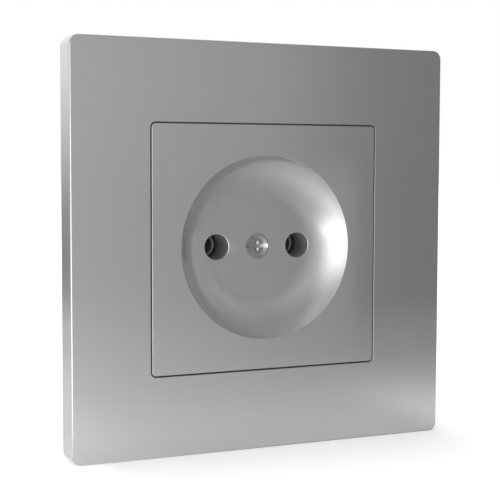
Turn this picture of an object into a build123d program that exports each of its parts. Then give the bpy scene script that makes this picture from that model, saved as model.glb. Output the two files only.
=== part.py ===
from build123d import *
import os
from math import acos, cos, degrees, radians, sin, sqrt, tan

os.makedirs("parts", exist_ok=True)

# All sizes in mm. Modelled lying on its back: x right, y up the wall, z out of the wall, wall at z = 0.
# stand() turns each piece upright at the end, so that the front faces -Y and +Z is up.

# Read from the photograph, scaled by the standard pin pitch
PIN_PITCH = 19.0
PIN_HOLE_D = 5.4
FRAME_SIZE = 85.8
FRAME_HEIGHT = 6.3
FRAME_CORNER_R = 2.0
FRAME_EDGE_R = 0.5
COVER_SIZE = 51.65
COVER_CORNER_R = 0.85
COVER_EDGE_R = 0.3
WINDOW_GAP = 0.3
RECESS_D = 38.9
RECESS_DEPTH = 4.9
RECESS_FLAT_D = 21.0
SCREW_MOUTH_D = 5.4
TUBE_LENGTH = 6.2

# How far cutters run past a face, and added solids into their neighbour
PAST = 1.0
MERGE = 0.5

# Named clearances
SLIDE_GAP = 0.3
THREAD_GAP = 0.05
LOOSE_GAP = 0.2
RAMP_GAP = 0.05
SNUG_GAP = 0.1

# Moulded walls of the decor frame and the cover
FRAME_WALL = 1.8
FRAME_FACE_T = 2.0
COVER_RIM_T = 1.6
COVER_WALL = 1.8
SKIRT_WALL = 1.5
LEDGE_REACH = 2.0
LEDGE_T = 1.4
COLLAR_WALL = 1.4
FOOT_FREE = 30.0
RIB_T = 1.2
RIB_H = 1.7
RIB_OFFSET = 20.0
TUBE_WALL = 1.5
MOUTH_R = 0.25
RIM_R = 0.2

# Stamped support plate
PLATE_MARGIN = 5.5
PLATE_T = 1.0
PLATE_CORNER = 6.0
OPENING_D = 40.0
BOX_PITCH = 60.0
BOX_SLOT_W = 4.2
BOX_SLOT_L = 8.0
LUG_W = 10.0
LUG_LENGTH = 12.0
LUG_RELIEF = 2.0
LUG_CHAMFER = 2.0
CATCH_W = 6.0
CATCH_L = 3.2
CATCH_H = 0.9
CATCH_DEPTH = 5.6

# Moulded base behind the wall plane
BASE_W = 34.0
BASE_H = 42.4
BASE_DEPTH = 24.5
BASE_FRONT = 0.9
BASE_CORNER_R = 2.0
BASE_WALL = 1.6
POST_D = 4.0
POST_INSET = 1.0
CHAMBER_W = 7.4
CHAMBER_LOW = 4.2
LID_T = 0.9
LID_DROP = 0.8
LID_LAND = 1.2
LID_CHAMFER = 0.8
LID_HOLE_D = 5.2
LID_LIP = 0.4
SNAP_L = 4.0
SNAP_H = 0.5
SNAP_T = 0.6

# Contacts and terminals
SLEEVE_D = 4.4
SLEEVE_T = 0.6
SLEEVE_LENGTH = 10.8
SLEEVE_SLIT = 1.0
SLEEVE_LIP = 0.42
SLIT_START = 2.5
PIN_REACH = 19.5
PIN_TIP_ROOM = 1.0
STRIP_T = 0.8
STRIP_W = 4.6
TAB_OVER = 1.0
RING_T = 0.5
RING_L = 1.6
RING_OPEN = 2.0
RING_SHIFT = 2.0
CAGE_W = 7.0
CAGE_L = 7.0
CAGE_INSET = 13.8
CAGE_SET = 2.1
CAGE_WALL = 1.2
CAGE_ROOF = 2.2
CAGE_CHAMFER = 0.5
WIRE_H = 4.4
WIRE_W = 5.2
TERM_THREAD_D = 3.5
TERM_HEAD_D = 5.8
TERM_HEAD_H = 2.2
TERM_LIFT = 1.2
TERM_TIP_OUT = 1.0

# Heads, tips and nuts of all the screws
HEAD_CHAMFER = 0.4
TIP_CHAMFER = 0.6
NUT_CHAMFER = 0.4
SLOT_W = 0.85
DRIVE_DEPTH = 0.9
CROSS_REACH = 0.6
CROSS_DEEPER = 1.4

# Centre screw and its nut
COVER_THREAD_D = 3.0
COVER_SCREW_SINK = 0.05
COVER_SCREW_REACH = 14.65
HEAD_LAND = 0.9
HEAD_EDGE = 0.1
CUP_R = 1.75
CUP_DEPTH = 0.45
NUT_SIDE = 5.5
NUT_T = 2.4
NUT_SEAT = 10.5
SLOT_DEPTH = 1.2
SLOT_SWEEP_R = 3.25
CROSS_ARM = 1.25
CROSS_DEPTH = 1.5

# Spreader claws: each slides on a ramp of the base when its screw draws the nut forward
CLAW_X = 24.5
CLAW_THREAD_D = 3.5
CLAW_HEAD_D = 5.8
CLAW_HEAD_H = 1.8
CLAW_SCREW_L = 23.5
CLAW_NUT_SIDE = 6.5
CLAW_NUT_T = 2.4
CLAW_NUT_Z = -20.4
CLAW_T = 1.5
CLAW_W = 10.0
CLAW_OUT = 28.6
CLAW_LEG = 9.0
CLAW_FOOT_L = 4.2
CLAW_TRAVEL = 5.4
TOOTH = 0.8
TEETH = 3
FOOT_W = 1.4
RAMP_ANGLE = 30.0
RAMP_W = 1.9
RAMP_OVER = 0.6
RAMP_START = 19.9

# Levels along z that several pieces share
LEDGE_FRONT = FRAME_HEIGHT - COVER_RIM_T
LEDGE_BACK = LEDGE_FRONT - LEDGE_T
WINDOW = COVER_SIZE + 2 * WINDOW_GAP
WINDOW_CORNER_R = COVER_CORNER_R + WINDOW_GAP
THROAT = WINDOW - 2 * LEDGE_REACH
FLOOR = FRAME_HEIGHT - RECESS_DEPTH
RECESS_ARC_R = (((RECESS_D - RECESS_FLAT_D) / 2) ** 2 + RECESS_DEPTH ** 2) / (2 * RECESS_DEPTH)
TUBE_END = FLOOR - TUBE_LENGTH
LID_FRONT = TUBE_END - LID_DROP
LID_BACK = LID_FRONT - LID_T
CONTACT_FRONT = LID_BACK - LOOSE_GAP
CONTACT_BACK = min(CONTACT_FRONT - SLEEVE_LENGTH, FLOOR - PIN_REACH - PIN_TIP_ROOM)
CHAMBER_FLOOR = CONTACT_BACK - STRIP_T
CAGE_FOOT = BASE_H / 2 - CAGE_INSET
TAB_Y = CAGE_FOOT + CAGE_WALL
ROOF_Y = TAB_Y + STRIP_T + WIRE_H
CAGE_TOP = ROOF_Y + CAGE_ROOF
CHAMBER_TOP = CAGE_TOP + LOOSE_GAP
CAGE_BACK = CONTACT_BACK + CAGE_SET
PIN_X = PIN_PITCH / 2
CHAMBER_IN = PIN_X - CHAMBER_W / 2
CHAMBER_OUT = PIN_X + CHAMBER_W / 2
LID_HALF_W = CHAMBER_OUT + LID_LAND + LOOSE_GAP
LID_LOW = -CHAMBER_LOW - LID_LAND
LID_HIGH = CHAMBER_TOP + LID_LAND
CATCH_BACK = -CATCH_DEPTH - CATCH_L
LUG_Y = BASE_H / 2 + SNUG_GAP
PLATE_SIZE = BOX_PITCH + 2 * PLATE_MARGIN
CLAW_SEAT = CLAW_NUT_Z + CLAW_NUT_T


def block(x0, x1, y0, y1, z0, z1):
    """A box between three pairs of limits."""
    return Pos((x0 + x1) / 2, (y0 + y1) / 2, (z0 + z1) / 2) * Box(x1 - x0, y1 - y0, z1 - z0)


def rod(d, z0, z1, x=0.0, y=0.0):
    """A round bar along z."""
    return Pos(x, y, (z0 + z1) / 2) * Cylinder(d / 2, z1 - z0)


def rod_y(d, y0, y1, x, z):
    """A round bar along y."""
    return Pos(x, (y0 + y1) / 2, z) * Rot(90, 0, 0) * Cylinder(d / 2, y1 - y0)


def tile(side, r, z0, z1):
    """A square slab with rounded corners."""
    return Pos(0, 0, z0) * extrude(RectangleRounded(side, side, r), z1 - z0)


def turned(edges):
    """A solid of revolution about z from a closed outline of radius and height."""
    return revolve(Plane.XZ * make_face(Wire(edges)), Axis.Z)


def loop(*points):
    """Straight edges through the points."""
    return [Line(points[i], points[i + 1]) for i in range(len(points) - 1)]


def sweep(centre, r, a0, a1):
    """An arc between two angles in degrees."""
    turns = [radians(a) for a in (a0, (a0 + a1) / 2, a1)]
    on_arc = [(centre[0] + r * cos(a), centre[1] + r * sin(a)) for a in turns]
    return ThreePointArc(*on_arc)


def flared_hole(r, z0, z1, lip):
    """A cutter for a round hole whose mouth at z1 is rounded by the lip radius."""
    wide = r + lip
    above = z1 + PAST
    sides = loop((r, z1 - lip), (r, z0), (0, z0), (0, above), (wide, above), (wide, z1))
    return turned(sides + [sweep((wide, z1 - lip), lip, 90, 180)])


def stand(shape):
    """From lying on its back to upright on the wall."""
    return Rot(90, 0, 0) * shape


def decor_frame():
    under = FRAME_HEIGHT - FRAME_FACE_T
    body = tile(FRAME_SIZE, FRAME_CORNER_R, 0, FRAME_HEIGHT)
    body = fillet(body.edges().group_by(Axis.Z)[-1], FRAME_EDGE_R)
    inner = FRAME_SIZE - 2 * FRAME_WALL
    body -= tile(inner, FRAME_CORNER_R / 2, 0, under)
    collar = WINDOW + 2 * COLLAR_WALL
    ring = tile(collar, WINDOW_CORNER_R, LEDGE_BACK, under)
    feet = tile(collar, WINDOW_CORNER_R, PLATE_T, LEDGE_BACK)
    feet -= block(-FOOT_FREE / 2, FOOT_FREE / 2, -collar, collar, 0, LEDGE_BACK)
    feet -= block(-collar, collar, -FOOT_FREE / 2, FOOT_FREE / 2, 0, LEDGE_BACK)
    body += ring
    body += feet
    for i in range(4):
        for y in (-RIB_OFFSET, RIB_OFFSET):
            x0, x1 = collar / 2 - MERGE, inner / 2 + MERGE
            rib = block(x0, x1, y - RIB_T / 2, y + RIB_T / 2, under - RIB_H, under)
            body += Rot(0, 0, 90 * i) * rib
    body -= tile(THROAT, COVER_CORNER_R, 0, LEDGE_FRONT)
    body -= tile(WINDOW, WINDOW_CORNER_R, LEDGE_FRONT, FRAME_HEIGHT)
    near = (WINDOW + FRAME_SIZE) / 4
    top = body.edges().group_by(Axis.Z)[-1]
    lip = [e for e in top if abs(e.center().X) < near and abs(e.center().Y) < near]
    return fillet(lip, COVER_EDGE_R)


def dish(wall, top, past):
    """The dished recess grown outward by a wall, as a solid up to a level and straight on past it."""
    low = FLOOR - wall
    arc_r = RECESS_ARC_R + wall
    middle = FLOOR + RECESS_ARC_R
    lean = degrees(acos((middle - top) / arc_r))
    flat = RECESS_FLAT_D / 2
    edge = flat + arc_r * sin(radians(lean))
    side = loop((0, low), (flat, low)) + [sweep((flat, middle), arc_r, 270, 270 + lean)]
    return turned(side + loop((edge, top), (edge, top + past), (0, top + past), (0, low)))


def socket_cover():
    skirt = THROAT - 2 * LOOSE_GAP
    skirt_back = PLATE_T + SLIDE_GAP
    body = tile(COVER_SIZE, COVER_CORNER_R, LEDGE_FRONT, FRAME_HEIGHT)
    body = fillet(body.edges().group_by(Axis.Z)[-1], COVER_EDGE_R)
    skirt_front = LEDGE_FRONT + MERGE
    wall = tile(skirt, COVER_CORNER_R, skirt_back, skirt_front)
    wall -= tile(skirt - 2 * SKIRT_WALL, COVER_CORNER_R / 2, skirt_back, skirt_front)
    head = CLAW_HEAD_D / 2 + SLIDE_GAP
    wall -= block(-skirt, skirt, -head, head, skirt_back, PLATE_T + CLAW_HEAD_H + SLIDE_GAP)
    body += wall
    body += dish(COVER_WALL, LEDGE_FRONT, COVER_RIM_T / 2)
    for i in range(4):
        corner = (skirt - SKIRT_WALL) / sqrt(2)
        rib = block(RECESS_D / 2 - COVER_WALL, corner, -RIB_T / 2, RIB_T / 2, FLOOR + RIB_T, skirt_front)
        body += Rot(0, 0, 45 + 90 * i) * rib
    tube_d = PIN_HOLE_D + 2 * TUBE_WALL
    for x in (-PIN_X, 0, PIN_X):
        body += rod(tube_d, TUBE_END, FLOOR - COVER_WALL / 2, x)
    body -= dish(0, FRAME_HEIGHT, PAST)
    rim = body.edges().group_by(Axis.Z)[-1].filter_by(GeomType.CIRCLE).sort_by(SortBy.RADIUS)[-1]
    body = fillet(rim, RIM_R)
    for x in (-PIN_X, PIN_X):
        body -= Pos(x, 0, 0) * flared_hole(PIN_HOLE_D / 2, TUBE_END - PAST, FLOOR, MOUTH_R)
    hole = COVER_THREAD_D / 2 + LOOSE_GAP
    mouth = SCREW_MOUTH_D / 2
    seat = FLOOR - HEAD_LAND
    deep = seat - (mouth - hole)
    above, below = FLOOR + MERGE, TUBE_END - PAST
    sink = loop((0, above), (mouth, above), (mouth, seat), (hole, deep), (hole, below), (0, below), (0, above))
    return body - turned(sink)


def drive(depth, head, top):
    """A combined drive: a slot right across the head and a short cross arm."""
    across = head + PAST
    cross = head * CROSS_REACH
    slot = block(-across, across, -SLOT_W / 2, SLOT_W / 2, top - depth, top + PAST)
    return slot + block(-SLOT_W / 2, SLOT_W / 2, -cross, cross, top - depth * CROSS_DEEPER, top + PAST)


def cover_screw():
    top = FLOOR - COVER_SCREW_SINK
    head = SCREW_MOUTH_D / 2 - SNUG_GAP
    r = COVER_THREAD_D / 2
    cup = top - CUP_DEPTH
    seat = FLOOR - HEAD_LAND
    tip = top - COVER_SCREW_REACH
    body = turned(loop((0, cup), (CUP_R, cup), (head - HEAD_EDGE, top), (head, top - HEAD_EDGE), (head, seat),
                       (r, seat - (head - r)), (r, tip + TIP_CHAMFER), (r - TIP_CHAMFER, tip), (0, tip), (0, cup)))
    body -= Pos(0, 0, top - SLOT_DEPTH + SLOT_SWEEP_R) * Rot(90, 0, 0) * Cylinder(SLOT_SWEEP_R, SLOT_W)
    return body - block(-SLOT_W / 2, SLOT_W / 2, -CROSS_ARM, CROSS_ARM, top - CROSS_DEPTH, top + PAST)


def cover_nut():
    half = NUT_SIDE / 2
    back = -NUT_SEAT - NUT_T
    body = block(-half, half, -half, half, back, -NUT_SEAT)
    body = chamfer(body.edges().filter_by(Axis.Z), NUT_CHAMFER)
    return body - rod(COVER_THREAD_D + 2 * THREAD_GAP, back - PAST, -NUT_SEAT + PAST)


def support_plate():
    half = PLATE_SIZE / 2
    body = block(-half, half, -half, half, 0, PLATE_T)
    body = chamfer(body.edges().filter_by(Axis.Z), PLATE_CORNER)
    body -= rod(OPENING_D, -PAST, PLATE_T + PAST)
    relief = LUG_W / 2 + LUG_RELIEF
    body -= block(-relief, relief, -LUG_Y, LUG_Y, -PAST, PLATE_T + PAST)
    for side in (1, -1):
        y0, y1 = sorted((side * LUG_Y, side * (LUG_Y + PLATE_T)))
        lug = block(-LUG_W / 2, LUG_W / 2, y0, y1, -LUG_LENGTH, PLATE_T)
        lug = chamfer(lug.edges().filter_by(Axis.Y).group_by(Axis.Z)[0], LUG_CHAMFER)
        snap = CATCH_W / 2 + LOOSE_GAP
        lug -= block(-snap, snap, y0 - PAST, y1 + PAST, CATCH_BACK - SNUG_GAP, -CATCH_DEPTH + LOOSE_GAP)
        body += lug
        slot = extrude(SlotOverall(BOX_SLOT_L, BOX_SLOT_W, rotation=90), PLATE_T + 2 * PAST)
        body -= Pos(0, side * BOX_PITCH / 2, -PAST) * slot
        body -= rod(CLAW_THREAD_D + 2 * SLIDE_GAP, -PAST, PLATE_T + PAST, side * CLAW_X)
    return body


def ramp_face_x(z):
    """The ramp's outer surface, which leans outward toward the front."""
    return RAMP_START + (z - CLAW_SEAT) * tan(radians(RAMP_ANGLE))


def claw_rails():
    """Four wedge rails on the base's right side and left side that the claw feet climb."""
    z0 = CLAW_SEAT - CLAW_FOOT_L
    z1 = CLAW_SEAT + CLAW_T + CLAW_TRAVEL * cos(radians(RAMP_ANGLE)) + SLIDE_GAP
    wall = BASE_W / 2 - MERGE
    outline = loop((wall, z0), (ramp_face_x(z0), z0), (ramp_face_x(z1), z1), (wall, z1), (wall, z0))
    wedge = extrude(Plane.XZ * make_face(Wire(outline)), RAMP_W)
    inner = CLAW_W / 2 - RAMP_W + RAMP_OVER
    right = Pos(0, inner + RAMP_W, 0) * wedge + Pos(0, -inner, 0) * wedge
    return right + mirror(right, Plane.YZ)


def base_cores():
    """What is taken out of the base: lid seat, contact chambers, wire and screw ways, rear cores."""
    back = -BASE_DEPTH
    out = block(-LID_HALF_W, LID_HALF_W, LID_LOW, LID_HIGH, LID_BACK, 0)
    low = -BASE_H / 2 + BASE_WALL
    for side in (-1, 1):
        x0, x1 = sorted((side * CHAMBER_IN, side * CHAMBER_OUT))
        out += block(x0, x1, -CHAMBER_LOW, CHAMBER_TOP, CHAMBER_FLOOR, LID_BACK)
        px = side * PIN_X
        w0, w1 = px - WIRE_W / 2, px + WIRE_W / 2
        wire_low = TAB_Y + STRIP_T + SNUG_GAP
        out += block(w0, w1, wire_low, wire_low + WIRE_H, back, CHAMBER_FLOOR)
        bore = TERM_HEAD_D + 2 * SLIDE_GAP
        out += rod_y(bore, CHAMBER_TOP - MERGE, BASE_H / 2 + PAST, px, CAGE_BACK + CAGE_L / 2)
        c0, c1 = sorted((side * BASE_WALL / 2, side * (BASE_W / 2 - BASE_WALL)))
        out += block(c0, c1, low, LID_LOW - BASE_WALL, back, -BASE_FRONT - BASE_WALL)
    half = NUT_SIDE / 2 + SNUG_GAP
    out += block(-half, half, -half, half, back, -NUT_SEAT)
    return out + rod(COVER_THREAD_D + 2 * SLIDE_GAP, -NUT_SEAT - MERGE, LID_BACK + MERGE)


def socket_base():
    outline = RectangleRounded(BASE_W, BASE_H, BASE_CORNER_R)
    body = Pos(0, 0, -BASE_DEPTH) * extrude(outline, BASE_DEPTH - BASE_FRONT)
    body -= base_cores()
    body += claw_rails()
    px = BASE_W / 2 - POST_D / 2 - POST_INSET
    py = BASE_H / 2 - POST_D / 2 - POST_INSET
    for x, y in ((px, py), (-px, py), (px, -py), (-px, -py)):
        body += rod(POST_D, -BASE_FRONT - MERGE, 0, x, y)
    for side in (-1, 1):
        edge = side * LID_HALF_W
        x0, x1 = sorted((edge - side * SNAP_H, edge + side * MERGE))
        mid = (LID_LOW + LID_HIGH) / 2
        seat = LID_FRONT + SNUG_GAP
        body += block(x0, x1, mid - SNAP_L / 2, mid + SNAP_L / 2, seat, seat + SNAP_T)
        y = side * BASE_H / 2
        root = y - side * MERGE
        nose = loop((root, -CATCH_DEPTH), (y, -CATCH_DEPTH), (y + side * CATCH_H, CATCH_BACK),
                    (root, CATCH_BACK), (root, -CATCH_DEPTH))
        body += Pos(-CATCH_W / 2, 0, 0) * extrude(Plane.YZ * make_face(Wire(nose)), CATCH_W)
    return body


def contact_retainer():
    half = LID_HALF_W - LOOSE_GAP
    body = block(-half, half, LID_LOW + LOOSE_GAP, LID_HIGH - LOOSE_GAP, LID_BACK, LID_FRONT)
    body = chamfer(body.edges().filter_by(Axis.Z), LID_CHAMFER)
    for x in (-PIN_X, PIN_X):
        body -= Pos(x, 0, 0) * flared_hole(LID_HOLE_D / 2, LID_BACK - PAST, LID_FRONT, LID_LIP)
    return body - rod(COVER_THREAD_D + 2 * SLIDE_GAP, LID_BACK - PAST, LID_FRONT + PAST)


def contact():
    outer = SLEEVE_D / 2 + SLEEVE_T
    sleeve = rod(2 * outer, CONTACT_BACK - STRIP_T / 2, CONTACT_FRONT)
    sleeve -= flared_hole(SLEEVE_D / 2, CONTACT_BACK, CONTACT_FRONT, SLEEVE_LIP)
    slit = SLEEVE_SLIT / 2
    across = outer + PAST
    sleeve -= block(-slit, slit, -across, across, CONTACT_BACK + SLIT_START, CONTACT_FRONT + PAST)
    half = STRIP_W / 2
    back = CONTACT_BACK - STRIP_T
    tab_top = TAB_Y + STRIP_T
    body = sleeve + block(-half, half, -outer, tab_top, back, CONTACT_BACK)
    return body + block(-half, half, TAB_Y, tab_top, back, CAGE_BACK + CAGE_L + TAB_OVER)


def contact_spring():
    inner = SLEEVE_D + 2 * SLEEVE_T + LOOSE_GAP
    mid = (CONTACT_FRONT + CONTACT_BACK) / 2 + RING_SHIFT
    ring = rod(inner + 2 * RING_T, mid - RING_L / 2, mid + RING_L / 2)
    ring -= rod(inner, mid - RING_L, mid + RING_L)
    return ring - block(-RING_OPEN / 2, RING_OPEN / 2, -inner, 0, mid - RING_L, mid + RING_L)


def terminal_block():
    half = CAGE_W / 2
    front = CAGE_BACK + CAGE_L
    body = block(-half, half, CAGE_FOOT, CAGE_TOP, CAGE_BACK, front)
    body = chamfer(body.edges().filter_by(Axis.Z), CAGE_CHAMFER)
    room = STRIP_W / 2 + SNUG_GAP
    body -= block(-room, room, TAB_Y, ROOF_Y, CAGE_BACK - PAST, front + PAST)
    bore = TERM_THREAD_D + 2 * THREAD_GAP
    return body - rod_y(bore, ROOF_Y - PAST, CAGE_TOP + PAST, 0, (CAGE_BACK + front) / 2)


def terminal_screw():
    seat = CAGE_TOP + TERM_LIFT
    top = seat + TERM_HEAD_H
    tip = ROOF_Y - TERM_TIP_OUT
    r = TERM_THREAD_D / 2
    head = TERM_HEAD_D / 2
    flat = head - HEAD_CHAMFER
    body = turned(loop((0, top), (flat, top), (head, top - HEAD_CHAMFER), (head, seat), (r, seat),
                       (r, tip + TIP_CHAMFER), (r - TIP_CHAMFER, tip), (0, tip), (0, top)))
    body -= drive(DRIVE_DEPTH, head, top)
    return Pos(0, 0, CAGE_BACK + CAGE_L / 2) * Rot(-90, 0, 0) * body


def claw():
    """The right claw: flange with a fork round the screw, toothed outer leg, two feet on the ramp."""
    half = CLAW_W / 2
    front = CLAW_SEAT + CLAW_T
    low = CLAW_SEAT - CLAW_FOOT_L
    body = block(ramp_face_x(low) - PAST, CLAW_OUT, -half, half, CLAW_SEAT, front)
    leg_in = CLAW_OUT - CLAW_T
    step = CLAW_LEG / TEETH
    points = [(leg_in, CLAW_SEAT), (CLAW_OUT, CLAW_SEAT)]
    for i in range(TEETH):
        z = front + step * i
        points += [(CLAW_OUT, z), (CLAW_OUT + TOOTH, z + step)]
    points += [(leg_in, front + CLAW_LEG), (leg_in, CLAW_SEAT)]
    leg = extrude(Plane.XZ * make_face(Wire(loop(*points))), CLAW_W)
    body += Pos(0, half, 0) * leg
    fork = CLAW_THREAD_D / 2 + SLIDE_GAP
    body -= block(0, CLAW_X, -fork, fork, CLAW_SEAT - PAST, front + PAST)
    body -= rod(2 * fork, CLAW_SEAT - PAST, front + PAST, CLAW_X)
    thick = CLAW_T / cos(radians(RAMP_ANGLE))
    x0, x1 = ramp_face_x(low), ramp_face_x(front)
    side_view = loop((x0, low), (x0 + thick, low), (x1 + thick, front), (x1, front), (x0, low))
    shin = extrude(Plane.XZ * make_face(Wire(side_view)), FOOT_W)
    body += Pos(0, half, 0) * shin
    body += Pos(0, FOOT_W - half, 0) * shin
    z0, z1 = low - PAST, front + PAST
    x0, x1 = ramp_face_x(z0) + RAMP_GAP, ramp_face_x(z1) + RAMP_GAP
    ramp = loop((0, z0), (x0, z0), (x1, z1), (0, z1), (0, z0))
    return body - Pos(0, half + PAST, 0) * extrude(Plane.XZ * make_face(Wire(ramp)), CLAW_W + 2 * PAST)


def claw_screw():
    r = CLAW_THREAD_D / 2
    head = CLAW_HEAD_D / 2
    top = PLATE_T + CLAW_HEAD_H
    tip = PLATE_T - CLAW_SCREW_L
    flat = head - HEAD_CHAMFER
    body = turned(loop((0, top), (flat, top), (head, top - HEAD_CHAMFER), (head, PLATE_T), (r, PLATE_T),
                       (r, tip + TIP_CHAMFER), (r - TIP_CHAMFER, tip), (0, tip), (0, top)))
    return Pos(CLAW_X, 0, 0) * (body - drive(DRIVE_DEPTH, head, top))


def claw_nut():
    half = CLAW_NUT_SIDE / 2
    body = block(-half, half, -half, half, CLAW_NUT_Z, CLAW_SEAT)
    body = chamfer(body.edges().filter_by(Axis.Z), NUT_CHAMFER)
    body -= rod(CLAW_THREAD_D + 2 * THREAD_GAP, CLAW_NUT_Z - PAST, CLAW_SEAT + PAST)
    return Pos(CLAW_X, 0, 0) * body


pieces = {
    "decor_frame": decor_frame(),
    "socket_cover": socket_cover(),
    "cover_screw": cover_screw(),
    "cover_nut": cover_nut(),
    "support_plate": support_plate(),
    "socket_base": socket_base(),
    "contact_retainer": contact_retainer(),
}
for name, make in (("contact", contact), ("contact_spring", contact_spring),
                   ("terminal_block", terminal_block), ("terminal_screw", terminal_screw)):
    pieces[name + "_left"] = Pos(-PIN_X, 0, 0) * make()
    pieces[name + "_right"] = Pos(PIN_X, 0, 0) * make()
for name, make in (("claw", claw), ("claw_screw", claw_screw), ("claw_nut", claw_nut)):
    pieces[name + "_right"] = make()
    pieces[name + "_left"] = Rot(0, 0, 180) * make()

for name, shape in pieces.items():
    export_step(stand(shape), f"parts/{name}.step")
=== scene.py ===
import bmesh
import bpy
import math
from mathutils import Matrix, Vector


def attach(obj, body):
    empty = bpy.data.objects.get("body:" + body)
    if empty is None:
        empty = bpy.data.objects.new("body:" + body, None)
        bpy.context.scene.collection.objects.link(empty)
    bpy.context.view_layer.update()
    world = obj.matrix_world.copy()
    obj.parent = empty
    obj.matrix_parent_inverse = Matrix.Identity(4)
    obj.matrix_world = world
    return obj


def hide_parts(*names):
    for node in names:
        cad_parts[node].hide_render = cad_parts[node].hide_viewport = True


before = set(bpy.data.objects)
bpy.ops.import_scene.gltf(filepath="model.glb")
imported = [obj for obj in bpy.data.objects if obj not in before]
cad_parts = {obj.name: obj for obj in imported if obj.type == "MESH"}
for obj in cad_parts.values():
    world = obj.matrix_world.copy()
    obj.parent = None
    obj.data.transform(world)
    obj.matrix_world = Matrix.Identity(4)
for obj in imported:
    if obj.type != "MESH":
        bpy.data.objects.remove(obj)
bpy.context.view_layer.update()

# Decor frame: the square outer frame, moulded in plastic with a satin aluminium-look lacquer outside.
# It is open at the back, where ribs stiffen it; the cover clamps a ledge around its window, and four
# corner feet stand on the support plate. Sizes are in millimetres until a piece is settled.
FRONT = -6.3
FRAME_SIDE = 85.8
FRAME_CORNER = 2
FRAME_EDGE = 0.3
WINDOW_SIDE = 52.25
WINDOW_EDGE = 0.12
LEDGE_FRONT = -4.7
LEDGE_BACK = -3.3
THROAT_SIDE = 48.25
COLLAR_SIDE = 55.05
FOOT_END = -1.0
FOOT_FREE = 15
FOOT_CORNER = 1.15
HOLLOW_SIDE = 82.2
HOLLOW_ROOF = -4.3
RIB_THICK = 1.2
RIB_OFFSETS = (-20, 20)
RIB_NEAR = 27.2
RIB_FAR = 41.4
RIB_FRONT = -4.5
RIB_BACK = -2.6
CORNER_STEPS = 8
EDGE_STEPS = 4
FRAME_EDGE_STEPS = 6
CREASE = 32
BITE = 0.5
PAST = 1
SHY = 0.02
NEAR = 0.05
WELD = 1e-3
FINE_WELD = 1e-4
RELIEF_HEIGHT = 0.00002


def rounded_square(bm, side, corner, depth):
    """Draws an upright square loop with rounded corners at a depth along Y, and gives its edges."""
    upright = Matrix.Rotation(math.radians(90), 4, "X") @ Matrix.Rotation(math.radians(45), 4, "Z")
    place = Matrix.Translation((0, depth, 0)) @ upright
    before = set(bm.faces)
    made = bmesh.ops.create_circle(bm, cap_ends=True, segments=4, radius=side / math.sqrt(2), matrix=place)
    bmesh.ops.bevel(bm, geom=made["verts"], offset=corner, affect="VERTICES", segments=CORNER_STEPS,
                    profile=0.5, material=-1)
    outline = (set(bm.faces) - before).pop()
    edges = list(outline.edges)
    bm.faces.remove(outline)
    return edges


def draw_on(bm, edges, scale, depth):
    """Carries a loop on to a new size and depth with a wall in between, and gives the new loop."""
    made = bmesh.ops.extrude_edge_only(bm, edges=edges)["geom"]
    verts = [part for part in made if isinstance(part, bmesh.types.BMVert)]
    bmesh.ops.scale(bm, vec=(scale, 1, scale), verts=verts)
    bmesh.ops.translate(bm, vec=(0, depth - verts[0].co.y, 0), verts=verts)
    return [part for part in made if isinstance(part, bmesh.types.BMEdge)]


def loop_at(bm, depth, nearest, farthest):
    """Gives the edges at a depth whose ends both lie between two distances from the axis."""
    def between(v):
        return abs(v.co.y - depth) < WELD and nearest < max(abs(v.co.x), abs(v.co.z)) < farthest
    return [e for e in bm.edges if all(between(v) for v in e.verts)]


def round_over(bm, edges, radius, steps):
    """Rounds a run of edges."""
    bmesh.ops.bevel(bm, geom=edges, offset=radius, affect="EDGES", segments=steps, profile=0.5, material=-1)


def add_bar(bm, low, high, turn=0.0):
    """Adds a bar between two corners, turned about the socket's axis."""
    size = Vector(high) - Vector(low)
    middle = (Vector(high) + Vector(low)) / 2
    place = Matrix.Rotation(turn, 4, "Y") @ Matrix.Translation(middle) @ Matrix.Diagonal((*size, 1))
    bmesh.ops.create_cube(bm, size=1, matrix=place)


def square_ring(outer, inner, corner, front, back):
    """Makes a closed square ring between two sides and two depths."""
    bm = bmesh.new()
    loop = rounded_square(bm, outer, corner, front)
    loop = draw_on(bm, loop, 1, back)
    loop = draw_on(bm, loop, inner / outer, back)
    loop = draw_on(bm, loop, 1, front)
    draw_on(bm, loop, outer / inner, front)
    bmesh.ops.remove_doubles(bm, verts=bm.verts, dist=WELD)
    return bm


def fuse(bm, other, how="UNION"):
    """Joins another closed mesh to one, or cuts it away, and gives the result."""
    blanks = []
    for part in (bm, other):
        bmesh.ops.recalc_face_normals(part, faces=part.faces)
        mesh = bpy.data.meshes.new("blank")
        part.to_mesh(mesh)
        part.free()
        blanks.append(bpy.data.objects.new("blank", mesh))
        bpy.context.scene.collection.objects.link(blanks[-1])
    tool = blanks[0].modifiers.new("tool", "BOOLEAN")
    tool.operation = how
    tool.solver = "EXACT"
    tool.object = blanks[1]
    worked = blanks[0].evaluated_get(bpy.context.evaluated_depsgraph_get())
    shaped = bmesh.new()
    shaped.from_mesh(worked.to_mesh())
    worked.to_mesh_clear()
    for blank in blanks:
        bpy.data.meshes.remove(blank.data)
    bmesh.ops.remove_doubles(shaped, verts=shaped.verts, dist=FINE_WELD)
    return shaped


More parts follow.
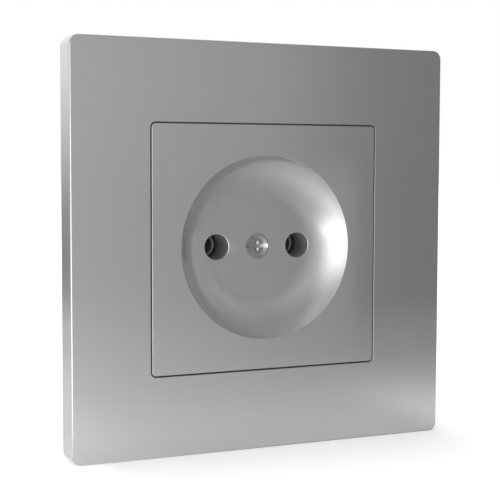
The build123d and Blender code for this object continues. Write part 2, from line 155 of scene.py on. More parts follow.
def settle(bm, name, finishes, slot, body, *nodes, crease=CREASE):
    """Makes a finished mesh the named piece that stands for its CAD nodes and rides on a body."""
    bmesh.ops.remove_doubles(bm, verts=bm.verts, dist=FINE_WELD)
    bmesh.ops.recalc_face_normals(bm, faces=bm.faces)
    bmesh.ops.scale(bm, vec=(0.001, 0.001, 0.001), verts=bm.verts)
    for face in bm.faces:
        face.smooth = True
    for edge in bm.edges:
        edge.smooth = edge.calc_face_angle(0.0) < math.radians(crease)
    mesh = bpy.data.meshes.new(name)
    bm.to_mesh(mesh)
    bm.free()
    for finish in finishes:
        mesh.materials.append(finish)
    piece = bpy.data.objects.new(name, mesh)
    bpy.context.scene.collection.objects.link(piece)
    even = piece.modifiers.new("even_shading", "WEIGHTED_NORMAL")
    even.keep_sharp = True
    even.weight = 100
    even.thresh = 0
    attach(piece, body)
    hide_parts(*nodes)
    return piece


def ranged(nodes, span, levels):
    """A node that takes the values of a span to two levels and those between."""
    node = nodes.new("ShaderNodeMapRange")
    node.inputs["From Min"].default_value, node.inputs["From Max"].default_value = span
    node.inputs["To Min"].default_value, node.inputs["To Max"].default_value = levels
    return node


def grained(name, colours, metallic, roughness, scale, bump):
    """A finish whose colour, roughness and relief follow one noise, stretched by the scale along X, Y and Z."""
    finish = bpy.data.materials.new(name)
    finish.use_nodes = True
    nodes, links = finish.node_tree.nodes, finish.node_tree.links
    shader = nodes["Principled BSDF"]
    shader.inputs["Metallic"].default_value = metallic
    place = nodes.new("ShaderNodeTexCoord")
    stretch = nodes.new("ShaderNodeMapping")
    stretch.inputs["Scale"].default_value = scale
    grain = nodes.new("ShaderNodeTexNoise")
    grain.inputs["Scale"].default_value = 1.0
    grain.inputs["Detail"].default_value = 4.0
    tint = nodes.new("ShaderNodeValToRGB")
    for stop, position, colour in zip(tint.color_ramp.elements, (0.3, 0.7), colours):
        stop.position = position
        stop.color = (*colour, 1)
    rough = ranged(nodes, (0, 1), roughness)
    relief = nodes.new("ShaderNodeBump")
    relief.inputs["Strength"].default_value = bump
    relief.inputs["Distance"].default_value = RELIEF_HEIGHT
    links.new(place.outputs["Object"], stretch.inputs["Vector"])
    links.new(stretch.outputs["Vector"], grain.inputs["Vector"])
    links.new(grain.outputs["Fac"], tint.inputs["Fac"])
    links.new(grain.outputs["Fac"], rough.inputs["Value"])
    links.new(grain.outputs["Fac"], relief.inputs["Height"])
    links.new(tint.outputs["Color"], shader.inputs["Base Color"])
    links.new(rough.outputs["Result"], shader.inputs["Roughness"])
    links.new(relief.outputs["Normal"], shader.inputs["Normal"])
    return finish


satin_lacquer = grained("satin_lacquer", colours=((0.49, 0.49, 0.49), (0.51, 0.51, 0.51)), metallic=0.64,
                        roughness=(0.17, 0.21), scale=(60, 600, 9000), bump=0.02)
# Bare plastic: the unlacquered inner and back faces, darker than the lacquer. Laid on the walls in the gap round the
# cover, it is also painted shade that deepens the gap line.
bare_plastic_gap_shade = grained("bare_plastic_gap_shade", colours=((0.31, 0.31, 0.31), (0.37, 0.37, 0.37)), metallic=0.0,
                       roughness=(0.42, 0.55), scale=(1800, 1800, 1800), bump=0.15)

bm = bmesh.new()
loop = rounded_square(bm, FRAME_SIDE, FRAME_CORNER, FRONT)
loop = draw_on(bm, loop, 1, 0)
loop = draw_on(bm, loop, HOLLOW_SIDE / FRAME_SIDE, 0)
loop = draw_on(bm, loop, 1, HOLLOW_ROOF)
loop = draw_on(bm, loop, COLLAR_SIDE / HOLLOW_SIDE, HOLLOW_ROOF)
loop = draw_on(bm, loop, 1, LEDGE_BACK)
loop = draw_on(bm, loop, THROAT_SIDE / COLLAR_SIDE, LEDGE_BACK)
loop = draw_on(bm, loop, 1, LEDGE_FRONT)
loop = draw_on(bm, loop, WINDOW_SIDE / THROAT_SIDE, LEDGE_FRONT)
loop = draw_on(bm, loop, 1, FRONT)
draw_on(bm, loop, FRAME_SIDE / WINDOW_SIDE, FRONT)
bmesh.ops.remove_doubles(bm, verts=bm.verts, dist=WELD)
round_over(bm, loop_at(bm, FRONT, COLLAR_SIDE / 2, FRAME_SIDE), FRAME_EDGE, FRAME_EDGE_STEPS)
round_over(bm, loop_at(bm, FRONT, 0, COLLAR_SIDE / 2), WINDOW_EDGE, EDGE_STEPS)
ribs = bmesh.new()
for quarter_turn in range(4):
    for offset in RIB_OFFSETS:
        add_bar(ribs, (RIB_NEAR, RIB_FRONT, offset - RIB_THICK / 2), (RIB_FAR, RIB_BACK, offset + RIB_THICK / 2),
                math.pi / 2 * quarter_turn)
feet = square_ring(COLLAR_SIDE - SHY, THROAT_SIDE + SHY, FOOT_CORNER, LEDGE_BACK - BITE, FOOT_END)
for wide, high in ((COLLAR_SIDE, FOOT_FREE), (FOOT_FREE, COLLAR_SIDE)):
    gap = bmesh.new()
    add_bar(gap, (-wide, LEDGE_BACK - PAST, -high), (wide, FOOT_END + PAST, high))
    feet = fuse(feet, gap, "DIFFERENCE")
bm = fuse(fuse(bm, ribs), feet)
# The window walls and ledges behind the front edge, and the hollow behind, take the bare plastic; in the window walls,
# in the gap round the cover, its darker tone is also painted shade.
for face in bm.faces:
    spot = face.calc_center_median()
    reach = max(abs(spot.x), abs(spot.z))
    painted_gap_shade = reach < WINDOW_SIDE / 2 + NEAR and spot.y > FRONT + 2 * WINDOW_EDGE
    behind = reach < HOLLOW_SIDE / 2 + 2 * NEAR and spot.y > LEDGE_FRONT + 2 * NEAR
    face.material_index = int(painted_gap_shade or behind)
settle(bm, "decor_frame_skin", (satin_lacquer, bare_plastic_gap_shade), "frame_lacquer", "socket", "decor_frame")

# Socket cover: the square centre plate with the dished recess, moulded and lacquered as the frame.
# Two tubes behind the pin holes lead the pins to the contacts, and a third takes the centre screw; a skirt
# with notches for the claw screws stiffens it behind, and four ribs tie the dish to the skirt's corners.
COVER_SIDE = 51.65
COVER_CORNER = 0.85
COVER_EDGE = 0.12
DISH_FLOOR = -1.4
DISH_FLAT_R = 10.5
DISH_ARC_R = 10.6227
DISH_RIM = 0.2
COVER_WALL = 1.8
SHELL_BITE = 0.8
SKIRT_SIDE = 47.85
SKIRT_INSIDE = 44.85
SKIRT_END = -1.3
NOTCH_FRONT = -3.1
NOTCH_HALF = 3.2
STAY_NEAR = 17.65
STAY_FAR = 32.77
BORDER = 1
PIN_X = 9.5
PIN_R = 2.7
MOUTH_LIP = 0.25
TUBE_R = 4.2
TUBE_END = 4.8
TUBE_CHAMFER = 0.2
SCREW_MOUTH_R = 2.7
SCREW_LAND = 0.9
SCREW_HOLE_R = 1.7
DISH_STEPS = 144
HOLE_STEPS = 72
SHELL_ARC_STEPS = 24
DISH_ARC_STEPS = 40
LIP_STEPS = 5
FACES_FRONT = -0.2


def arc(bm, start, centre, degrees, steps):
    """Sweeps one vertex about an axis along Z, and gives the last vertex of the arc."""
    made = bmesh.ops.spin(bm, geom=[start], cent=(*centre, 0), axis=(0, 0, 1), angle=math.radians(degrees),
                          steps=steps)
    return [part for part in made["geom_last"] if isinstance(part, bmesh.types.BMVert)][0]


def line(bm, start, *ends):
    """Draws straight edges on from a vertex through radius and depth points, and gives the last vertex."""
    for end in ends:
        far = bm.verts.new((*end, 0))
        bm.edges.new((start, far))
        start = far
    return start


def turn(bm, steps):
    """Spins all that was drawn about the socket's axis into a closed body."""
    bmesh.ops.spin(bm, geom=bm.verts[:] + bm.edges[:], cent=(0, 0, 0), axis=(0, 1, 0), angle=math.tau, steps=steps,
                   use_merge=True)
    bmesh.ops.remove_doubles(bm, verts=bm.verts, dist=FINE_WELD)
    bmesh.ops.recalc_face_normals(bm, faces=bm.faces)
    return bm


def beside(bm, *places):
    """Moves a body to each of the places along X, as one mesh, and gives that mesh."""
    spare = bpy.data.meshes.new("spare")
    bm.to_mesh(spare)
    bm.free()
    row = bmesh.new()
    for x in places:
        before = set(row.verts)
        row.from_mesh(spare)
        bmesh.ops.translate(row, vec=(x, 0, 0), verts=[v for v in row.verts if v not in before])
    bpy.data.meshes.remove(spare)
    return row


bm = bmesh.new()
loop = rounded_square(bm, COVER_SIDE, COVER_CORNER, FRONT)
bmesh.ops.contextual_create(bm, geom=loop)
back = draw_on(bm, loop, 1, LEDGE_FRONT)
bmesh.ops.contextual_create(bm, geom=back)
round_over(bm, loop, COVER_EDGE, EDGE_STEPS)

shell = bmesh.new()
middle = DISH_FLOOR - DISH_ARC_R
lean = math.acos((LEDGE_FRONT - middle) / (DISH_ARC_R + COVER_WALL))
tip = line(shell, shell.verts.new((0, DISH_FLOOR + COVER_WALL, 0)), (DISH_FLAT_R, DISH_FLOOR + COVER_WALL))
tip = arc(shell, tip, (DISH_FLAT_R, middle), -math.degrees(lean), SHELL_ARC_STEPS)
line(shell, tip, (tip.co.x, LEDGE_FRONT - SHELL_BITE), (0, LEDGE_FRONT - SHELL_BITE))
bm = fuse(bm, turn(shell, DISH_STEPS))

skirt = square_ring(SKIRT_SIDE, SKIRT_INSIDE, COVER_CORNER, LEDGE_FRONT - BITE, SKIRT_END)
notch = bmesh.new()
add_bar(notch, (-SKIRT_SIDE, NOTCH_FRONT, -NOTCH_HALF), (SKIRT_SIDE, 0, NOTCH_HALF))
bm = fuse(bm, fuse(skirt, notch, "DIFFERENCE"))
stays = bmesh.new()
for quarter_turn in range(4):
    add_bar(stays, (STAY_NEAR, LEDGE_FRONT - BITE, -RIB_THICK / 2), (STAY_FAR, RIB_BACK, RIB_THICK / 2),
            math.radians(45 + 90 * quarter_turn))
bm = fuse(bm, stays)
tube = bmesh.new()
line(tube, tube.verts.new((0, DISH_FLOOR + COVER_WALL / 2, 0)), (TUBE_R, DISH_FLOOR + COVER_WALL / 2),
     (TUBE_R, TUBE_END - TUBE_CHAMFER), (TUBE_R - TUBE_CHAMFER, TUBE_END), (0, TUBE_END))
bm = fuse(bm, beside(turn(tube, HOLE_STEPS), -PIN_X, 0, PIN_X))

dish = bmesh.new()
lean = math.acos((FRONT + DISH_RIM - middle) / (DISH_ARC_R + DISH_RIM))
rim_x = DISH_FLAT_R + (DISH_ARC_R + DISH_RIM) * math.sin(lean)
tip = line(dish, dish.verts.new((0, DISH_FLOOR, 0)), (DISH_FLAT_R, DISH_FLOOR))
tip = arc(dish, tip, (DISH_FLAT_R, middle), -math.degrees(lean), DISH_ARC_STEPS)
tip = arc(dish, tip, (rim_x, FRONT + DISH_RIM), math.degrees(lean), LIP_STEPS)
line(dish, tip, (rim_x, FRONT - PAST), (0, FRONT - PAST))
bm = fuse(bm, turn(dish, DISH_STEPS), "DIFFERENCE")
pin_hole = bmesh.new()
tip = line(pin_hole, pin_hole.verts.new((0, TUBE_END + PAST, 0)), (PIN_R, TUBE_END + PAST),
           (PIN_R, DISH_FLOOR + MOUTH_LIP))
tip = arc(pin_hole, tip, (PIN_R + MOUTH_LIP, DISH_FLOOR + MOUTH_LIP), 90, LIP_STEPS)
line(pin_hole, tip, (PIN_R + MOUTH_LIP, DISH_FLOOR - PAST), (0, DISH_FLOOR - PAST))
bm = fuse(bm, beside(turn(pin_hole, HOLE_STEPS), -PIN_X, PIN_X), "DIFFERENCE")
sink = bmesh.new()
line(sink, sink.verts.new((0, TUBE_END + PAST, 0)), (SCREW_HOLE_R, TUBE_END + PAST),
     (SCREW_HOLE_R, DISH_FLOOR + SCREW_LAND + SCREW_MOUTH_R - SCREW_HOLE_R), (SCREW_MOUTH_R, DISH_FLOOR + SCREW_LAND),
     (SCREW_MOUTH_R, DISH_FLOOR - PAST), (0, DISH_FLOOR - PAST))
bm = fuse(bm, turn(sink, HOLE_STEPS), "DIFFERENCE")
bm.normal_update()
# Faces that don't face the front take the bare plastic, but the rim's outer sides close to the front keep the lacquer;
# on the sides further back, in the gap round the cover, its darker tone is also painted shade.
for face in bm.faces:
    spot = face.calc_center_median()
    outside = max(abs(spot.x), abs(spot.z)) > SKIRT_SIDE / 2 + BORDER and spot.y < FRONT + 2 * COVER_EDGE
    face.material_index = int(face.normal.y > FACES_FRONT and not outside)
settle(bm, "socket_cover_skin", (satin_lacquer, bare_plastic_gap_shade), "frame_lacquer", "socket", "socket_cover")

# Centre screw: countersunk zinc-plated steel with a milled slot and a short cross, flush with the dish.
# It draws the cover to the base, where a square nut in a rear pocket takes its thread.
SCREW_TOP = -1.35
SCREW_TIP = 13.3
CUP_R = 1.7
CUP_DEPTH = 0.3
CUP_EDGE_R = 2.4
CROWN_R = 2.5
CROWN_FALL = 0.02
HEAD_R = 2.67
HEAD_EDGE = 0.03
HEAD_EDGE_DEPTH = 0.08
HEAD_SIDE_DEPTH = 0.85
CORE_R = 1.2
CORE_START = 2.25
POINT_R = 0.8
POINT_LENGTH = 0.6
SLOT_WIDTH = 0.85
SLOT_DEPTH = 1.05
SAW_R = 4.6
SAW_STEPS = 192
CROSS_LOW = (-0.6, 0.22, -1.2)
CROSS_HIGH = (0.6, 0.47, 1.2)
CROSS_TAPER = (0.08, 1, 0.7)
COVER_THREAD_R = 1.5
COVER_PITCH = 0.5
COVER_THREAD_START = 2.6
COVER_THREAD_END = 12.5
SCREW_CREASE = 15
RIDGE_HEIGHT = 0.61
RIDGE_FOOT = 0.45
RIDGE_TOP = 0.06
RIDGE_SINK = 0.1
THREAD_STEPS = 24


def threaded(tip_r, pitch, start, end):
    """Makes a screw thread about the socket's axis as a closed helical ridge between two depths."""
    bm = bmesh.new()
    root = tip_r - RIDGE_HEIGHT * pitch - RIDGE_SINK
    near = bm.verts.new((root, start - pitch * RIDGE_FOOT, 0))
    far = line(bm, near, (tip_r, start - pitch * RIDGE_TOP), (tip_r, start + pitch * RIDGE_TOP),
               (root, start + pitch * RIDGE_FOOT))
    bm.edges.new((far, near))
    section = bmesh.ops.contextual_create(bm, geom=bm.edges[:])["faces"]
    turns = (end - start) / pitch
    steps = int(turns * THREAD_STEPS)
    bmesh.ops.spin(bm, geom=section, cent=(0, 0, 0), axis=(0, 1, 0), dvec=(0, (end - start) / steps, 0),
                   angle=math.tau * turns, steps=steps)
    return bm


def with_thread(bm, tip_r, pitch, start, end):
    """Adds a thread to a screw's core."""
    ridge = threaded(tip_r, pitch, start, end)
    mesh = bpy.data.meshes.new("ridge")
    ridge.to_mesh(mesh)
    ridge.free()
    bm.from_mesh(mesh)
    bpy.data.meshes.remove(mesh)
    return bm


bright_zinc = grained("bright_zinc", colours=((0.36, 0.36, 0.36), (0.42, 0.42, 0.42)), metallic=1.0,
                      roughness=(0.18, 0.26), scale=(900, 900, 900), bump=0.05)
bm = bmesh.new()
line(bm, bm.verts.new((0, SCREW_TOP + CUP_DEPTH, 0)), (CUP_R, SCREW_TOP + CUP_DEPTH),
     (CUP_EDGE_R, SCREW_TOP + CROWN_FALL), (CROWN_R, SCREW_TOP), (HEAD_R - HEAD_EDGE, SCREW_TOP + CROWN_FALL),
     (HEAD_R, SCREW_TOP + HEAD_EDGE_DEPTH), (HEAD_R, SCREW_TOP + HEAD_SIDE_DEPTH), (CORE_R, SCREW_TOP + CORE_START),
     (CORE_R, SCREW_TIP - POINT_LENGTH), (POINT_R, SCREW_TIP), (0, SCREW_TIP))
bm = turn(bm, HOLE_STEPS)
slot_saw = bmesh.new()
bmesh.ops.create_cone(slot_saw, cap_ends=True, segments=SAW_STEPS, radius1=SAW_R, radius2=SAW_R, depth=SLOT_WIDTH,
                      matrix=Matrix.Translation((0, SCREW_TOP + SLOT_DEPTH - SAW_R, 0)))
bm = fuse(bm, slot_saw, "DIFFERENCE")
cross = bmesh.new()
add_bar(cross, CROSS_LOW, CROSS_HIGH)
bmesh.ops.scale(cross, vec=CROSS_TAPER, verts=[v for v in cross.verts if v.co.y > CROSS_LOW[1] + NEAR])
bmesh.ops.translate(cross, vec=(0, SCREW_TOP, 0), verts=cross.verts)
bm = fuse(bm, cross, "DIFFERENCE")
bm = with_thread(bm, COVER_THREAD_R, COVER_PITCH, COVER_THREAD_START, COVER_THREAD_END)
settle(bm, "cover_screw_skin", (bright_zinc,), "screw_steel", "socket", "cover_screw", crease=SCREW_CREASE)

# Cover nut: a square zinc-plated steel nut, pressed into a rear pocket of the base behind the centre screw.
# Its corners are trimmed in the blanking tool, and tumbling has taken the burr off its edges.
NUT_EASE = 0.18
EASE_STEPS = 2
SHARP_FROM = 35
FLAT_TO = 0.5
ROLLING = (2600, 2600, 90)
CRYSTAL = 1.6
CRYSTAL_SHADE = (0.86, 0.86, 0.86, 1)
WHITE = (1, 1, 1, 1)


def eased(node, radius):
    """Copies a CAD node in millimetres with its sharp edges rounded over, and gives the mesh."""
    bm = bmesh.new()
    bm.from_mesh(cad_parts[node].data)
    bmesh.ops.scale(bm, vec=(1000, 1000, 1000), verts=bm.verts)
    bmesh.ops.remove_doubles(bm, verts=bm.verts, dist=WELD)
    bmesh.ops.dissolve_limit(bm, angle_limit=math.radians(FLAT_TO), verts=bm.verts, edges=bm.edges)
    sharp = [e for e in bm.edges if e.calc_face_angle(0.0) > math.radians(SHARP_FROM)]
    bmesh.ops.bevel(bm, geom=sharp, offset=radius, affect="EDGES", segments=EASE_STEPS, profile=0.5, material=-1,
                    clamp_overlap=True)
    return bm


def zinc_plated(name, colours, roughness):
    """A plated sheet finish: crystals of slightly different grey under fine rolling streaks along Z."""
    finish = grained(name, colours, metallic=1.0, roughness=roughness, scale=ROLLING, bump=0.05)
    nodes, links = finish.node_tree.nodes, finish.node_tree.links
    shader = nodes["Principled BSDF"]
    streaks = nodes["Color Ramp"]
    crystals = nodes.new("ShaderNodeTexVoronoi")
    crystals.inputs["Scale"].default_value = 1000 / CRYSTAL
    bright = nodes.new("ShaderNodeValToRGB")
    bright.color_ramp.elements[0].color = CRYSTAL_SHADE
    bright.color_ramp.elements[1].color = WHITE
    both = nodes.new("ShaderNodeMix")
    both.data_type = "RGBA"
    both.blend_type = "MULTIPLY"
    both.inputs["Factor"].default_value = 1.0
    links.new(nodes["Texture Coordinate"].outputs["Object"], crystals.inputs["Vector"])
    links.new(crystals.outputs["Color"], bright.inputs["Fac"])
    links.new(streaks.outputs["Color"], both.inputs["A"])
    links.new(bright.outputs["Color"], both.inputs["B"])
    links.new(both.outputs["Result"], shader.inputs["Base Color"])
    return finish


dull_zinc = zinc_plated("dull_zinc", colours=((0.5, 0.5, 0.49), (0.6, 0.6, 0.59)), roughness=(0.3, 0.44))
settle(eased("cover_nut", NUT_EASE), "cover_nut_skin", (dull_zinc,), "zinc_steel", "socket", "cover_nut")

# Support plate: stamped from zinc-plated sheet steel, with the box screw slots above and below the opening.
# Its two lugs are bent back beside the base, which snaps into their windows; blanking has rolled its edges.
PLATE_EASE = 0.15
settle(eased("support_plate", PLATE_EASE), "support_plate_skin", (dull_zinc,), "zinc_steel", "socket",
       "support_plate")

# Socket base: the insulating block behind the wall, moulded in dark thermoplastic with contact chambers,
# wire ways and open cores at the back. Wedge rails on its sides guide the claws, and noses catch the lugs.
BASE_EASE = 0.25
base_plastic = grained("base_plastic", colours=((0.14, 0.14, 0.148), (0.18, 0.18, 0.19)), metallic=0.0,
                       roughness=(0.42, 0.58), scale=(1500, 1500, 1500), bump=0.25)
settle(eased("socket_base", BASE_EASE), "socket_base_skin", (base_plastic,), "base_plastic", "socket", "socket_base")

# Contact retainer: the thin black moulded lid that snaps into the base and keeps the contacts in their chambers.
# Its two flared holes lead the pins from the cover's tubes into the sleeves.
LID_EASE = 0.12
# The lid is moulded in dark plastic; its near-black tone also stands in as painted shade for the dark gap seen deep in
# the pin holes.
lid_plastic = grained("lid_plastic", colours=((0.042, 0.042, 0.042), (0.06, 0.06, 0.06)), metallic=0.0,
                      roughness=(0.5, 0.65), scale=(1700, 1700, 1700), bump=0.2)
settle(eased("contact_retainer", LID_EASE), "contact_retainer_skin", (lid_plastic,), "lid_plastic", "socket",
       "contact_retainer")

# Contacts: a slit sleeve for each pin with a strip and a terminal tab, bent from one blank of nickel-plated brass.
# The plating is fine and dull, and a little warm in tone. The base holds them behind its lid.
CONTACT_EASE = 0.1
nickel_brass = grained("nickel_brass", colours=((0.44, 0.43, 0.41), (0.52, 0.51, 0.49)), metallic=0.6,
                       roughness=(0.5, 0.6), scale=(700, 3000, 3000), bump=0.05)
for side in ("left", "right"):
    settle(eased("contact_" + side, CONTACT_EASE), "contact_skin_" + side, (nickel_brass,), "contact_brass", "socket",
           "contact_" + side)

# Contact springs: open rings of plain spring steel that squeeze the slit sleeves onto the pins.
# They are cut from strip and bent, so that their grain runs around.
SPRING_EASE = 0.1
spring_steel = grained("spring_steel", colours=((0.4, 0.4, 0.41), (0.5, 0.5, 0.51)), metallic=1.0,
                       roughness=(0.26, 0.38), scale=(400, 4000, 400), bump=0.08)
for side in ("left", "right"):
    settle(eased("contact_spring_" + side, SPRING_EASE), "contact_spring_skin_" + side, (spring_steel,),
           "spring_steel", "socket", "contact_spring_" + side)

# Terminal blocks: nickel-plated brass cages around each contact's tab, in which the screw clamps the wire.
# They are sawn from drawn profile, and their edges are broken.
CAGE_EASE = 0.15
for side in ("left", "right"):
    settle(eased("terminal_block_" + side, CAGE_EASE), "terminal_block_skin_" + side, (nickel_brass,),
           "contact_brass", "socket", "terminal_block_" + side)

# Terminal screws: zinc-plated cheese-head screws with a slot and a short cross, driven from the top of the base.
# Their rolled threads run in the cages, and their flat tips press on the wires.
CHEESE_R = 2.9
CHEESE_EDGE = 0.4
CHEESE_FOOT = 0.12
CHEESE_STEPS = 48
SHANK_R = 1.75
PITCH = 0.6
LEAD_IN = 0.35
TIP_TAPER = 0.4
THREAD_GAPS = (0.4, 0.7)
DRIVE_WIDTH = 0.85
DRIVE_DEPTH = 0.9
CROSS_ARM = 1.74
CROSS_DEPTH = 1.26
TERMINAL_Y = 13.5
TERMINAL_TOP = 19.4
TERMINAL_HEAD = 2.2
TERMINAL_LENGTH = 6.6


def cheese_screw(head_height, length):
    """Makes a screw with the top of its head at zero and its shank along +Y."""
    bm = bmesh.new()
    core = SHANK_R - RIDGE_HEIGHT * PITCH
    tip = line(bm, bm.verts.new((0, 0, 0)), (CHEESE_R - CHEESE_EDGE, 0))
    tip = arc(bm, tip, (CHEESE_R - CHEESE_EDGE, CHEESE_EDGE), 90, LIP_STEPS)
    line(bm, tip, (CHEESE_R, head_height - CHEESE_FOOT), (CHEESE_R - CHEESE_FOOT, head_height), (SHANK_R, head_height),
         (core, head_height + LEAD_IN), (core, length - TIP_TAPER), (core - TIP_TAPER, length), (0, length))
    bm = turn(bm, CHEESE_STEPS)
    drive = bmesh.new()
    add_bar(drive, (-CHEESE_R - PAST, -PAST, -DRIVE_WIDTH / 2), (CHEESE_R + PAST, DRIVE_DEPTH, DRIVE_WIDTH / 2))
    bm = fuse(bm, drive, "DIFFERENCE")
    drive = bmesh.new()
    add_bar(drive, (-DRIVE_WIDTH / 2, -PAST, -CROSS_ARM), (DRIVE_WIDTH / 2, CROSS_DEPTH, CROSS_ARM))
    bm = fuse(bm, drive, "DIFFERENCE")
    return with_thread(bm, SHANK_R, PITCH, head_height + THREAD_GAPS[0], length - THREAD_GAPS[1])


for side, x in (("left", -PIN_X), ("right", PIN_X)):
    bm = cheese_screw(TERMINAL_HEAD, TERMINAL_LENGTH)
    bmesh.ops.rotate(bm, verts=bm.verts, cent=(0, 0, 0), matrix=Matrix.Rotation(math.radians(-90), 3, "X"))
    bmesh.ops.translate(bm, verts=bm.verts, vec=(x, TERMINAL_Y, TERMINAL_TOP))
    settle(bm, "terminal_screw_skin_" + side, (bright_zinc,), "screw_steel", "socket", "terminal_screw_" + side)

# Spreader claws: bent from zinc-plated strip, with a fork round the screw, two feet on the base's rails and a
# toothed leg that bites into the wall box. The claws ride on bodies of their own.
CLAW_EASE = 0.12
for side in ("left", "right"):
    settle(eased("claw_" + side, CLAW_EASE), "claw_skin_" + side, (dull_zinc,), "zinc_steel", side + "_claw",
           "claw_" + side)

# Claw screws: long zinc-plated cheese-head screws through the support plate, driven from the front with the frame
# off. Each turns in place and draws its nut, and the claw with it, along the rails.
CLAW_SCREW_X = 24.5
CLAW_SCREW_TOP = -2.8
CLAW_SCREW_HEAD = 1.8
CLAW_SCREW_LENGTH = 25.3
for side, x in (("left", -CLAW_SCREW_X), ("right", CLAW_SCREW_X)):
    bm = cheese_screw(CLAW_SCREW_HEAD, CLAW_SCREW_LENGTH)
    bmesh.ops.translate(bm, verts=bm.verts, vec=(x, CLAW_SCREW_TOP, 0))
    settle(bm, "claw_screw_skin_" + side, (bright_zinc,), "screw_steel", side + "_screw", "claw_screw_" + side)

# Claw nuts: square zinc-plated nuts behind the claws, which the claw's leg keeps from turning.
# They are blanked and tapped as the cover nut is, and ride on bodies of their own.
for side in ("left", "right"):
    settle(eased("claw_nut_" + side, NUT_EASE), "claw_nut_skin_" + side, (dull_zinc,), "zinc_steel", side + "_nut",
           "claw_nut_" + side)

# Paper sweep: the white paper that the socket stands on. For the camera it has a painted glow, which brings it to
# white far off and lets the socket's soft shadow show near it, with more painted light at the left under the frame's
# corner. The gloss of the socket mirrors a painted glow in it, bright on the left and dim on the right, with a painted
# sheen at low angles.
PAPER_LEVEL = -0.0429
PAPER_REACH = 3.0
PAPER_SHADE = (0.9, 0.9, 0.9, 1)
GLOW_REACH = (0.06, 0.5)
GLOW_LEVELS = (0.25, 1.0)
LEFT_REACH = (-0.034, -0.05)
LEFT_LEVELS = (0, 0.5)
LOW_RAYS = (0.55, 0.8)
STEEP_RAYS = (0.2, 0.5)
PLAIN_LEVELS = (0.82, 1)
PAINTED_SHEEN_LEVELS = (0, 1)
STEEP_LEVELS = (2.4, 1)
TOP_LEVEL = 4
PAPER_ACROSS = ((-150, 1.0, 0.1, 2.7), (-80, 0.97, 0.1, 2.4), (-60, 0.97, 0.1, 1.75), (-40, 0.8, 0.1, 0.8),
                (-20, 0.68, 0.24, 0.36), (0, 0.605, 0.28, 0.23), (20, 0.6, 0.35, 0.1), (40, 0.57, 0.41, 0.04),
                (46, 0.54, 0.58, 0.02), (52, 0.51, 0.93, 0.01), (57, 0.485, 1.07, 0), (80, 0.44, 0.98, 0),
                (100, 0.42, 0.85, 0), (150, 0.37, 0, 0))
PAPER_ALONG = ((-150, 1.12, 0, 1.05), (-115, 1.03, 0, 1), (-90, 1, 0.1, 1), (-60, 1, 0.45, 1),
               (-30, 1, 0.85, 0.9), (0, 1.05, 1, 0.3), (30, 1.08, 1, 0), (70, 1.03, 1, 0), (150, 0.72, 1, 0))


def graded(nodes, stops_at):
    """A ramp between the first and the last of its stops, each a place with three levels up to the top level."""
    ramp = nodes.new("ShaderNodeValToRGB")
    stops = ramp.color_ramp.elements
    while len(stops) < len(stops_at):
        stops.new(0.5)
    low, high = stops_at[0][0], stops_at[-1][0]
    for stop, (place, *levels) in zip(stops, stops_at):
        stop.position = (place - low) / (high - low)
        stop.color = [level / TOP_LEVEL for level in levels] + [1]
    return ramp


def along_axis(nodes, links, place, axis, stops_at):
    """A ramp along one axis, with its places in millimetres."""
    axes = nodes.new("ShaderNodeSeparateXYZ")
    span = ranged(nodes, (stops_at[0][0] / 1000, stops_at[-1][0] / 1000), (0, 1))
    ramp = graded(nodes, stops_at)
    links.new(place.outputs["Object"], axes.inputs["Vector"])
    links.new(axes.outputs[axis], span.inputs["Value"])
    links.new(span.outputs["Result"], ramp.inputs["Fac"])
    return ramp


def crossed(nodes, links, levels, others):
    """Multiplies two sets of three levels, adds the products up, and gives the sum."""
    both = nodes.new("ShaderNodeVectorMath")
    both.operation = "DOT_PRODUCT"
    whole = nodes.new("ShaderNodeMath")
    whole.operation = "MULTIPLY"
    whole.inputs[1].default_value = TOP_LEVEL ** 2
    links.new(levels, both.inputs[0])
    links.new(others, both.inputs[1])
    links.new(both.outputs["Value"], whole.inputs[0])
    return whole.outputs["Value"]


def combined(nodes, links, how, first, second):
    """Works two values into one, and gives it."""
    node = nodes.new("ShaderNodeMath")
    node.operation = how
    links.new(first, node.inputs[0])
    links.new(second, node.inputs[1])
    return node.outputs["Value"]


def set_up(bm, name, finish):
    """Puts a surface of the studio up around the socket, and gives it."""
    mesh = bpy.data.meshes.new(name)
    bm.to_mesh(mesh)
    bm.free()
    mesh.materials.append(finish)
    surface = bpy.data.objects.new(name, mesh)
    bpy.context.scene.collection.objects.link(surface)
    return surface


paper = bpy.data.materials.new("white_paper")
paper.use_nodes = True
nodes, links = paper.node_tree.nodes, paper.node_tree.links
shader = nodes["Principled BSDF"]
shader.inputs["Base Color"].default_value = PAPER_SHADE
shader.inputs["Roughness"].default_value = 1.0
shader.inputs["Specular IOR Level"].default_value = 0.0
shader.inputs["Emission Color"].default_value = WHITE
rays = nodes.new("ShaderNodeLightPath")
place = nodes.new("ShaderNodeTexCoord")
away = nodes.new("ShaderNodeVectorMath")
away.operation = "LENGTH"
across = nodes.new("ShaderNodeSeparateXYZ")
far_glow = ranged(nodes, GLOW_REACH, GLOW_LEVELS)
painted_light_left = ranged(nodes, LEFT_REACH, LEFT_LEVELS)
links.new(place.outputs["Object"], away.inputs[0])
links.new(away.outputs["Value"], far_glow.inputs["Value"])
links.new(place.outputs["Object"], across.inputs["Vector"])
links.new(across.outputs["X"], painted_light_left.inputs["Value"])
glow = combined(nodes, links, "ADD", far_glow.outputs["Result"], painted_light_left.outputs["Result"])
glow = combined(nodes, links, "MULTIPLY", glow, rays.outputs["Is Camera Ray"])
links.new(glow, shader.inputs["Emission Strength"])
